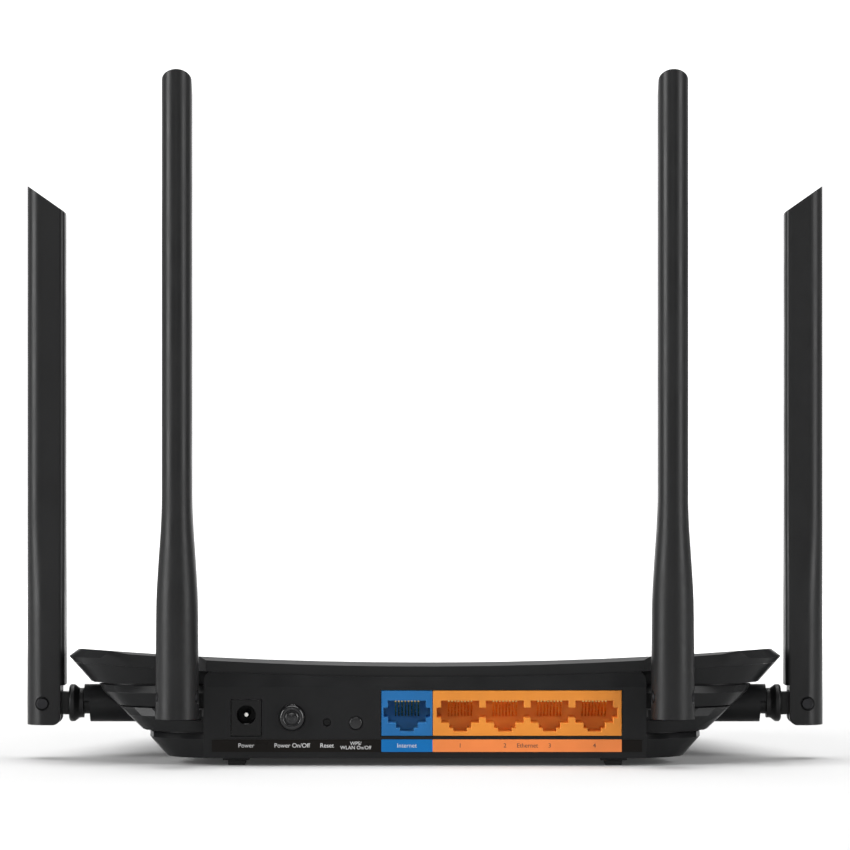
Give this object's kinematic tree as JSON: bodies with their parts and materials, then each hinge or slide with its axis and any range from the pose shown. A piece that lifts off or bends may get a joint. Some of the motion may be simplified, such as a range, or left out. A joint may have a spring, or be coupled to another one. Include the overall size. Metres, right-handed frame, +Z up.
{
  "type": "wireless router",
  "caption": "Low terraced desktop wireless router with a concave lid, rear socket row and hinged, swivelling paddle antennas.",
  "frame": {"origin": "middle of the case's footprint at the height of the desk, under the feet", "axes": "+Z up, +Y to the rear where the sockets are, +X to the right of someone looking at the front lights from above, along the case's width"},
  "size_m": [0.254, 0.1555, 0.2165],
  "materials": {
    "board_screws": "zinc",
    "capacitors": "can",
    "case_screws": "black zinc",
    "circuit_board": "solder mask",
    "coax_leads": "sheath",
    "coax_sockets": "gold plated",
    "crystal": "can",
    "dc_centre_pin": "nickel plated",
    "dc_jack": "moulded black",
    "dc_spring_contact": "tinned",
    "ethernet_switch_chip": "epoxy",
    "flash_chip": "epoxy",
    "heat_sink": "extruded",
    "inlay_panel": "piano gloss",
    "lan_contacts": "gold plated",
    "lan_jacks": "moulded orange",
    "lan_transformers": "epoxy",
    "light_guide": "clear acrylic",
    "lower_case": "fine satin texture",
    "memory_chip": "epoxy",
    "port_label": "printed strip",
    "power_button": "gloss black",
    "power_inductors": "ferrite",
    "power_switch": "moulded",
    "processor": "epoxy",
    "radio_chips": "epoxy",
    "rear_left_blade": "satin",
    "rear_left_hinge_pin": "black steel",
    "rear_left_knuckle": "satin",
    "rear_left_lead": "sheath",
    "rear_left_radiator": "plain",
    "rear_left_retainer": "spring steel",
    "rear_right_blade": "satin",
    "rear_right_hinge_pin": "black steel",
    "rear_right_knuckle": "satin",
    "rear_right_lead": "sheath",
    "rear_right_radiator": "plain",
    "rear_right_retainer": "spring steel",
    "reset_plunger": "moulded",
    "reset_switch": "moulded",
    "rubber_feet": "matt",
    "shield_cans": "tinned",
    "side_left_blade": "satin",
    "side_left_hinge_pin": "black steel",
    "side_left_knuckle": "satin",
    "side_left_lead": "sheath",
    "side_left_radiator": "plain",
    "side_left_retainer": "spring steel",
    "side_right_blade": "satin",
    "side_right_hinge_pin": "black steel",
    "side_right_knuckle": "satin",
    "side_right_lead": "sheath",
    "side_right_radiator": "plain",
    "side_right_retainer": "spring steel",
    "status_leds": "LED package",
    "top_cover": "satin with glossy edge",
    "wan_contacts": "gold plated",
    "wan_jack": "moulded blue",
    "wps_button": "gloss black",
    "wps_switch": "moulded"
  },
  "bodies": {
    "router": {"board_screws": "board_screws", "capacitors": "capacitors", "case_screws": "case_screws", "circuit_board": "circuit_board", "coax_leads": "coax_leads", "coax_sockets": "coax_sockets", "crystal": "crystal", "dc_centre_pin": "dc_centre_pin", "dc_jack": "dc_jack", "dc_spring_contact": "dc_spring_contact", "ethernet_switch_chip": "ethernet_switch_chip", "flash_chip": "flash_chip", "heat_sink": "heat_sink", "inlay_panel": "inlay_panel", "lan_contacts": "lan_contacts", "lan_jacks": "lan_jacks", "lan_transformers": "lan_transformers", "light_guide": "light_guide", "lower_case": "lower_case", "memory_chip": "memory_chip", "port_label": "port_label", "power_inductors": "power_inductors", "power_switch": "power_switch", "processor": "processor", "radio_chips": "radio_chips", "reset_switch": "reset_switch", "rubber_feet": "rubber_feet", "shield_cans": "shield_cans", "status_leds": "status_leds", "top_cover": "top_cover", "wan_contacts": "wan_contacts", "wan_jack": "wan_jack", "wps_switch": "wps_switch"},
    "side_right_swivel": {"side_right_knuckle": "side_right_knuckle", "side_right_hinge_pin": "side_right_hinge_pin", "side_right_lead": "side_right_lead", "side_right_retainer": "side_right_retainer"},
    "side_right_antenna": {"side_right_blade": "side_right_blade", "side_right_radiator": "side_right_radiator"},
    "side_left_swivel": {"side_left_knuckle": "side_left_knuckle", "side_left_hinge_pin": "side_left_hinge_pin", "side_left_lead": "side_left_lead", "side_left_retainer": "side_left_retainer"},
    "side_left_antenna": {"side_left_blade": "side_left_blade", "side_left_radiator": "side_left_radiator"},
    "rear_right_swivel": {"rear_right_knuckle": "rear_right_knuckle", "rear_right_hinge_pin": "rear_right_hinge_pin", "rear_right_lead": "rear_right_lead", "rear_right_retainer": "rear_right_retainer"},
    "rear_right_antenna": {"rear_right_blade": "rear_right_blade", "rear_right_radiator": "rear_right_radiator"},
    "rear_left_swivel": {"rear_left_knuckle": "rear_left_knuckle", "rear_left_hinge_pin": "rear_left_hinge_pin", "rear_left_lead": "rear_left_lead", "rear_left_retainer": "rear_left_retainer"},
    "rear_left_antenna": {"rear_left_blade": "rear_left_blade", "rear_left_radiator": "rear_left_radiator"},
    "power_button": {"power_button": "power_button"},
    "wps_button": {"wps_button": "wps_button"},
    "reset_plunger": {"reset_plunger": "reset_plunger"}
  },
  "joints": [
    {"name": "side_right_swivel_joint", "type": "hinge", "parent": "router", "child": "side_right_swivel", "pos_m": [0.1217, 0.036, 0.0177], "axis": [1, 0, 0], "range_deg": [-90, 90]},
    {"name": "side_right_fold_joint", "type": "hinge", "parent": "side_right_swivel", "child": "side_right_antenna", "pos_m": [0.1217, 0.036, 0.0177], "axis": [0, -1, 0], "range_deg": [-90, 0]},
    {"name": "side_left_swivel_joint", "type": "hinge", "parent": "router", "child": "side_left_swivel", "pos_m": [-0.1217, 0.036, 0.0177], "axis": [1, 0, 0], "range_deg": [-90, 90]},
    {"name": "side_left_fold_joint", "type": "hinge", "parent": "side_left_swivel", "child": "side_left_antenna", "pos_m": [-0.1217, 0.036, 0.0177], "axis": [0, 1, 0], "range_deg": [-90, 0]},
    {"name": "rear_right_swivel_joint", "type": "hinge", "parent": "router", "child": "rear_right_swivel", "pos_m": [0.077, 0.08055, 0.022], "axis": [0, 1, 0], "range_deg": [-45, 90]},
    {"name": "rear_right_fold_joint", "type": "hinge", "parent": "rear_right_swivel", "child": "rear_right_antenna", "pos_m": [0.077, 0.08055, 0.022], "axis": [1, 0, 0], "range_deg": [-90, 0]},
    {"name": "rear_left_swivel_joint", "type": "hinge", "parent": "router", "child": "rear_left_swivel", "pos_m": [-0.077, 0.08055, 0.022], "axis": [0, -1, 0], "range_deg": [-45, 90]},
    {"name": "rear_left_fold_joint", "type": "hinge", "parent": "rear_left_swivel", "child": "rear_left_antenna", "pos_m": [-0.077, 0.08055, 0.022], "axis": [1, 0, 0], "range_deg": [-90, 0]},
    {"name": "power_button_press", "type": "slide", "parent": "router", "child": "power_button", "axis": [0, -1, 0], "range_m": [0, 0.0015], "stiffness_N_per_m": 600, "springref_m": -0.0004},
    {"name": "wps_button_press", "type": "slide", "parent": "router", "child": "wps_button", "axis": [0, -1, 0], "range_m": [0, 0.0006], "stiffness_N_per_m": 500, "springref_m": -0.0004},
    {"name": "reset_plunger_press", "type": "slide", "parent": "router", "child": "reset_plunger", "axis": [0, -1, 0], "range_m": [0, 0.0005], "stiffness_N_per_m": 400, "springref_m": -0.0004}
  ]
}
